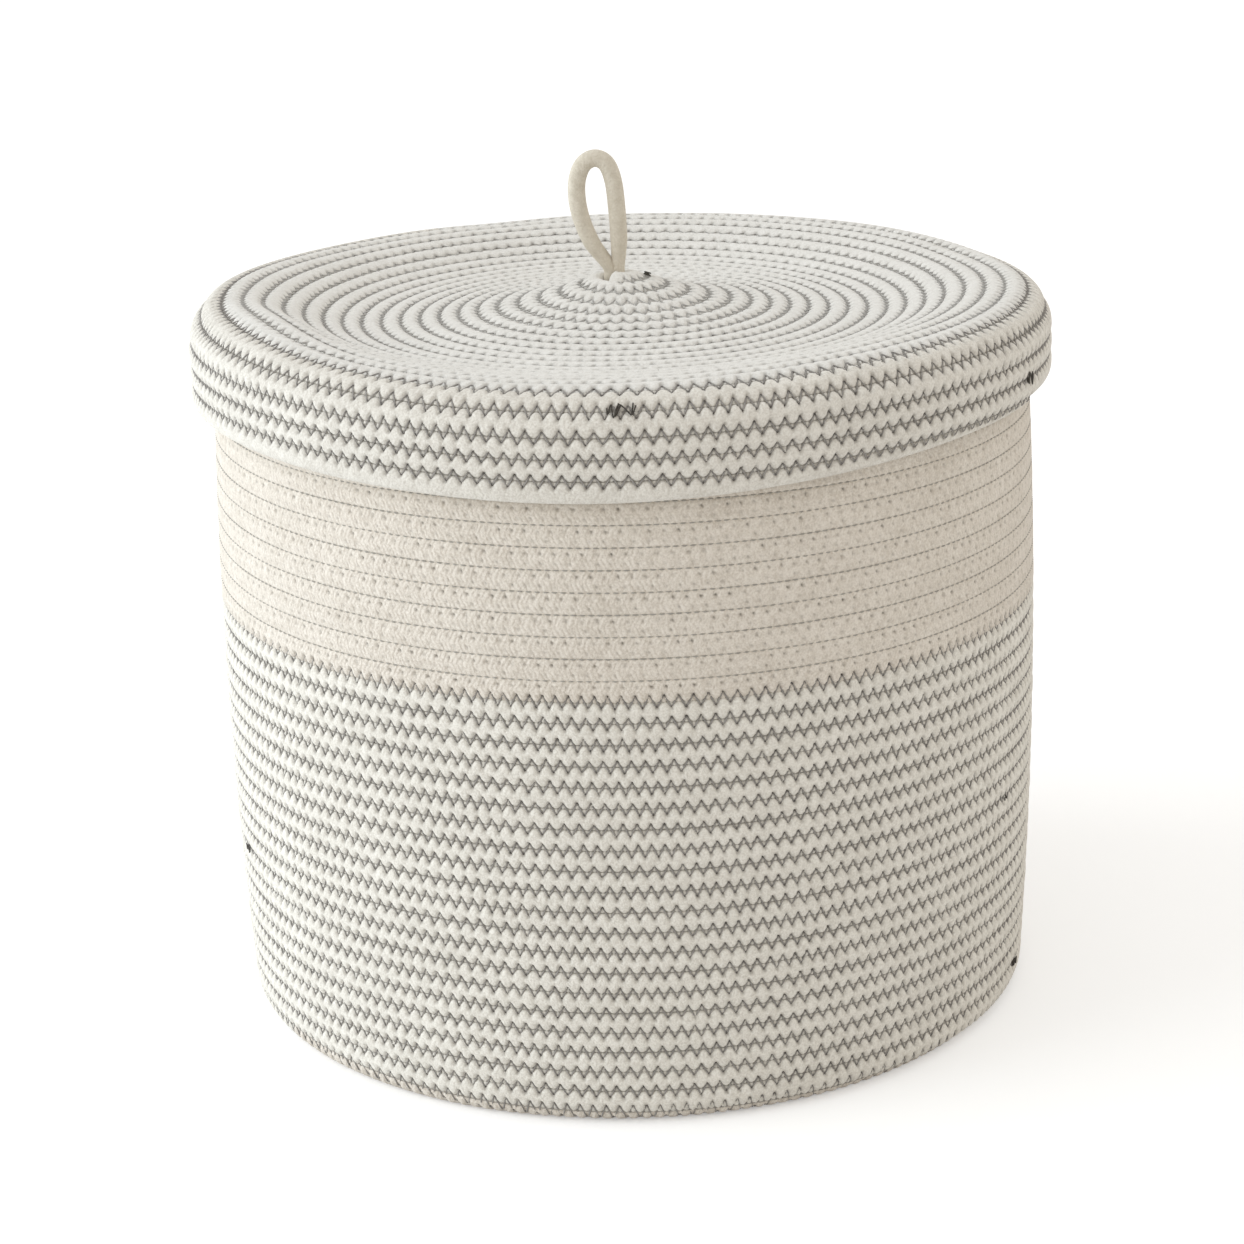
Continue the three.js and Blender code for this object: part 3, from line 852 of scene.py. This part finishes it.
grey_sewn_cotton = knitted_rope("grey_sewn_cotton", GREY_ROPE, FAINT_STITCHES)
# The grey-sewn cotton painted darker as shade, for the lid's skirt
skirt_cotton_with_painted_shade = knitted_rope("skirt_cotton_with_painted_shade", SKIRT_ROPE_WITH_PAINTED_SHADE, FAINT_STITCHES)
natural_cotton = knitted_rope("natural_cotton", NATURAL_ROPE, CLEAR_STITCHES)
lid_cotton = knitted_rope("lid_cotton", LID_ROPE, SOFT_STITCHES)
loop_cotton = knitted_rope("loop_cotton", LOOP_ROPE, SOFT_STITCHES, LOOP_STITCH, LOOP_GRAIN)
grey_thread = sewing_thread("grey_thread", GREY_THREAD)
# The grey thread painted lighter for the lid's top, as painted light
lid_thread_with_painted_light = sewing_thread("lid_thread_with_painted_light", LID_THREAD_WITH_PAINTED_LIGHT)
seam_thread_and_shade = sewing_thread("seam_thread_and_shade", SEAM_THREAD_AND_SHADE)
natural_thread = sewing_thread("natural_thread", NATURAL_THREAD)
knot_thread = sewing_thread("knot_thread", KNOT_THREAD)

basket_line = basket_section()
lid_line = lid_section(basket_line)
basket_coil = Coil(
    "basket", basket_line, BASKET_PITCH, BASKET_START, 1,
    BASKET_TOOTH, BASKET_SEAMS, BASKET_REACH, BASKET_FEELS,
)
lid_coil = Coil(
    "lid", lid_line, LID_PITCH, LID_START, -1,
    LID_TOOTH, LID_SEAMS, LID_REACH, LID_FEELS, lid_lift, CENTRE_SHIFT,
)
coils = {"basket": basket_coil, "lid": lid_coil}
hinge_height = float(lid_line.at(0.0)[1]) + ROPE_HALF + HINGE_ABOVE_LID


# The basket: floor, grey-sewn wall and natural-sewn wall
def make_basket():
    wind_pieces("floor_rope", basket_coil, FLOOR_FIRST_TURN, FLOOR_TURNS, FLOOR_PIECE,
                natural_cotton, "natural_rope", "floor_coil", spacing=FLOOR_RING_SPACING)
    wind_pieces("lower_wall_rope", basket_coil, FLOOR_TURNS, COLOUR_CHANGE, GREY_PIECE,
                grey_sewn_cotton, "grey_sewn_rope", "lower_wall_coil")
    wind_pieces("upper_wall_rope", basket_coil, COLOUR_CHANGE, RIM_END, NATURAL_PIECE,
                natural_cotton, "natural_rope", "upper_wall_coil", taper_at=RIM_END)
    first_seam, last_seam = BASKET_SEAMS
    for face, side in (("outside", 1), ("inside", -1)):
        sew_zigzag(f"floor_zigzag_{face}", basket_coil, first_seam, GREY_THREAD_FROM, side,
                   natural_thread)
        sew_zigzag(f"grey_zigzag_{face}", basket_coil, GREY_THREAD_FROM, NATURAL_THREAD_FROM, side,
                   grey_thread)
        sew_zigzag(f"natural_zigzag_{face}", basket_coil, NATURAL_THREAD_FROM, last_seam, side,
                   natural_thread, NATURAL_THREAD_RADIUS)
    lay_seam_line("grey_seam_line", basket_coil, GREY_THREAD_FROM, NATURAL_THREAD_FROM,
                  GREY_LINE, seam_thread_and_shade)
    lay_seam_line("natural_seam_line", basket_coil, NATURAL_THREAD_FROM, last_seam,
                  NATURAL_LINE, seam_thread_and_shade)


# The lid: its top and its skirt
def make_lid():
    wind_pieces("lid_top_rope", lid_coil, LID_FIRST_TURN, SKIRT_FIRST_TURN, LID_PIECE,
                lid_cotton, "lid_rope", "lid_top_coil", open_at=LID_FIRST_TURN)
    wind_rope("lid_skirt_rope", lid_coil, SKIRT_FIRST_TURN, HEM_END,
              skirt_cotton_with_painted_shade, "lid_rope", "lid_skirt_coil", taper_at=HEM_END)
    first_seam, last_seam = LID_SEAMS
    for face, side in (("outside", 1), ("inside", -1)):
        sew_zigzag(f"lid_top_zigzag_{face}", lid_coil, first_seam, SKIRT_THREAD_FROM, side,
                   lid_thread_with_painted_light, LID_THREAD_RADIUS)
        sew_zigzag(f"skirt_zigzag_{face}", lid_coil, SKIRT_THREAD_FROM, last_seam, side,
                   grey_thread)
    lay_seam_line("lid_seam_line", lid_coil, first_seam, last_seam,
                  LID_LINE, seam_thread_and_shade)


# A length of cord, which stands a little behind the lid's middle at its foot
def cord_piece(name, points, radii, body, replaces):
    x, z = curve_through(points, CORD_STEPS).T
    set_back = FOOT_SET_BACK * (1 - smooth((z - hinge_height) / SET_BACK_HEIGHT))
    path = np.stack([x, set_back, z], 1)
    shares = np.linspace(0, 1, len(path))
    radius = np.interp(shares, np.linspace(0, 1, len(radii)), radii)
    normal = np.broadcast_to(np.array([0.0, 1.0, 0.0]), path.shape)
    rings = thread_rings(path, normal, radius[:, None, None], CORD_SIDES)
    return tube_mesh(name, rings, length_along(path), loop_cotton, body, replaces)


# The loop bends at its foot, where it comes out of the lid
def make_loop():
    lean, top = LOOP_LEAN - LOOP_DRAWN_IN, LOOP_HEIGHT - CORD_RADIUS
    right, left = FOOT_ASIDE + FOOT_HALF_SPACING, FOOT_ASIDE - FOOT_HALF_SPACING
    low, high = hinge_height - FOOT_DEPTH, hinge_height + FOOT_RISE
    between = [(lean * aside, hinge_height + rise * top) for aside, rise in LEANS_AND_RISES]
    points = [(right, low), (right, high), *between, (left, high), (left, low)]
    loop = cord_piece("finger_loop", points, LOOP_RADII, None, ("handle_loop",))
    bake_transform(loop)


# Each end bends from the hole to lie flat along the lid's underside
def make_cord_ends():
    below = ROPE_HALF + SEAT_GAP + CORD_RADIUS
    flat = float(lid_line.at(0.0)[1]) - below
    bend = LEG_SPACING / 2 + TAIL_BEND_RADIUS
    for side, end in ((-1, "left"), (1, "right")):
        points = [(FOOT_HALF_SPACING + side * FOOT_ASIDE, hinge_height - TAIL_START)]
        for degrees in TAIL_BEND_DEGREES:
            angle = math.pi + math.radians(degrees)
            points.append((bend + TAIL_BEND_RADIUS * math.cos(angle),
                           flat + TAIL_BEND_RADIUS + TAIL_BEND_RADIUS * math.sin(angle)))
        for share in (0.5, 1):
            reach = bend + share * (TAIL_LENGTH - bend)
            points.append((reach, float(lid_line.at(reach)[1]) - below))
        points = [(side * x, z) for x, z in points]
        cord_piece(f"cord_end_{end}", points, TAIL_RADII, "lid", (f"handle_tail_{end}",))


# A knot is a short tangle of thread on the seam
def tie_knot(name, body, turns, length, width, slot):
    coil = coils[body]
    radius = float(coil.section.at(turns * coil.pitch)[0])
    count = KNOT_LEAST_POINTS + int(length * KNOT_POINTS_PER_MM)
    along = np.linspace(-1, 1, count) + random_numbers.uniform(-KNOT_STRAY, KNOT_STRAY, count)
    sides = np.where(np.arange(count) % 2, 1, -1)
    across = sides * random_numbers.uniform(KNOT_NARROWEST, 1, count)
    out = ROPE_HALF - KNOT_SINK + random_numbers.uniform(0, KNOT_HEAP, count)
    run = along * length / (TURN * radius)
    points = coil.place(turns + run, coil.pitch / 2 + across * width, out)
    surface = coil.place(turns, coil.pitch / 2, ROPE_HALF)
    above = coil.place(turns, coil.pitch / 2, ROPE_HALF + 1) - surface
    path = curve_through(points, KNOT_STEPS)
    normal = np.broadcast_to(above, path.shape)
    rings = thread_rings(path, normal, KNOT_THREAD_RADIUS, KNOT_THREAD_SIDES)
    return tube_mesh(name, rings, length_along(path), knot_thread, body)


make_basket()
make_lid()
make_loop()
make_cord_ends()
for knot in KNOTS:
    tie_knot(*knot)


# The floor isn't part of the object: it is pale, and white to the camera where it is lit
def make_stage():
    mesh = bpy.data.meshes.new("floor")
    corners = [(x * FLOOR_HALF, y * FLOOR_HALF, 0) for x, y in ((-1, -1), (1, -1), (1, 1), (-1, 1))]
    mesh.from_pydata(corners, [], [(0, 1, 2, 3)])
    floor = bpy.data.objects.new("floor", mesh)
    bpy.context.scene.collection.objects.link(floor)
    material = bpy.data.materials.new("floor")
    nodes = Nodes(material)
    output = nodes.add("ShaderNodeOutputMaterial")
    matt = nodes.add("ShaderNodeBsdfDiffuse")
    nodes.feed(FLOOR_COLOUR, matt.inputs["Color"])
    glow = nodes.add("ShaderNodeEmission")
    nodes.feed(nodes.math("MULTIPLY", nodes.seen(), FLOOR_GLOW), glow.inputs["Strength"])
    both = nodes.add("ShaderNodeAddShader")
    nodes.feed(matt.outputs[0], both.inputs[0])
    nodes.feed(glow.outputs[0], both.inputs[1])
    nodes.feed(both.outputs[0], output.inputs["Surface"])
    mesh.materials.append(material)


# The sky, warm at the horizon, and white to the camera
def make_sky():
    world = bpy.data.worlds.new("studio")
    nodes = Nodes(world)
    output = nodes.add("ShaderNodeOutputWorld")
    back = nodes.add("ShaderNodeBackground")
    place = nodes.add("ShaderNodeTexCoord").outputs["Generated"]
    raised = nodes.math("MULTIPLY", nodes.parts(place)["Z"], SKY_RISE)
    raised = nodes.math("MINIMUM", nodes.math("MAXIMUM", raised, 0.0), 1.0)
    sky = nodes.mix(raised, HORIZON_LIGHT, ZENITH_LIGHT)
    nodes.feed(nodes.mix(nodes.seen(), sky, (1.0, 1.0, 1.0)), back.inputs["Color"])
    nodes.feed(back.outputs[0], output.inputs["Surface"])
    bpy.context.scene.world = world


# A light that shines from a direction, which is a vector
def add_light(light, source):
    lamp = bpy.data.objects.new(light.name, light)
    lamp.rotation_euler = Vector(source).to_track_quat("Z", "Y").to_euler()
    bpy.context.scene.collection.objects.link(lamp)
    return lamp


# A window at the left and a faint warm bounce from the right
def add_sun(name, azimuth, elevation, strength, spread, colour):
    light = bpy.data.lights.new(name, "SUN")
    light.energy = strength
    light.angle = math.radians(spread)
    light.color = colour
    a, e = math.radians(azimuth), math.radians(elevation)
    add_light(light, (math.cos(a) * math.cos(e), math.sin(a) * math.cos(e), math.sin(e)))


# A low panel at the left, which brightens the wall down to its foot
def add_panel():
    panel = bpy.data.lights.new("low_panel", "AREA")
    panel.shape = "RECTANGLE"
    panel.size, panel.size_y = PANEL_WIDTH, PANEL_HEIGHT
    panel.energy = PANEL_POWER
    panel.color = PANEL_COLOUR
    lamp = add_light(panel, (-1, 0, 0))
    lamp.location = (-PANEL_DISTANCE, 0, PANEL_HEIGHT / 2 + PANEL_ABOVE_FLOOR)
    lamp.visible_camera = False


make_stage()
make_sky()
for sun in SUNS:
    add_sun(*sun)
add_panel()
bpy.context.scene.view_settings.view_transform = "Standard"
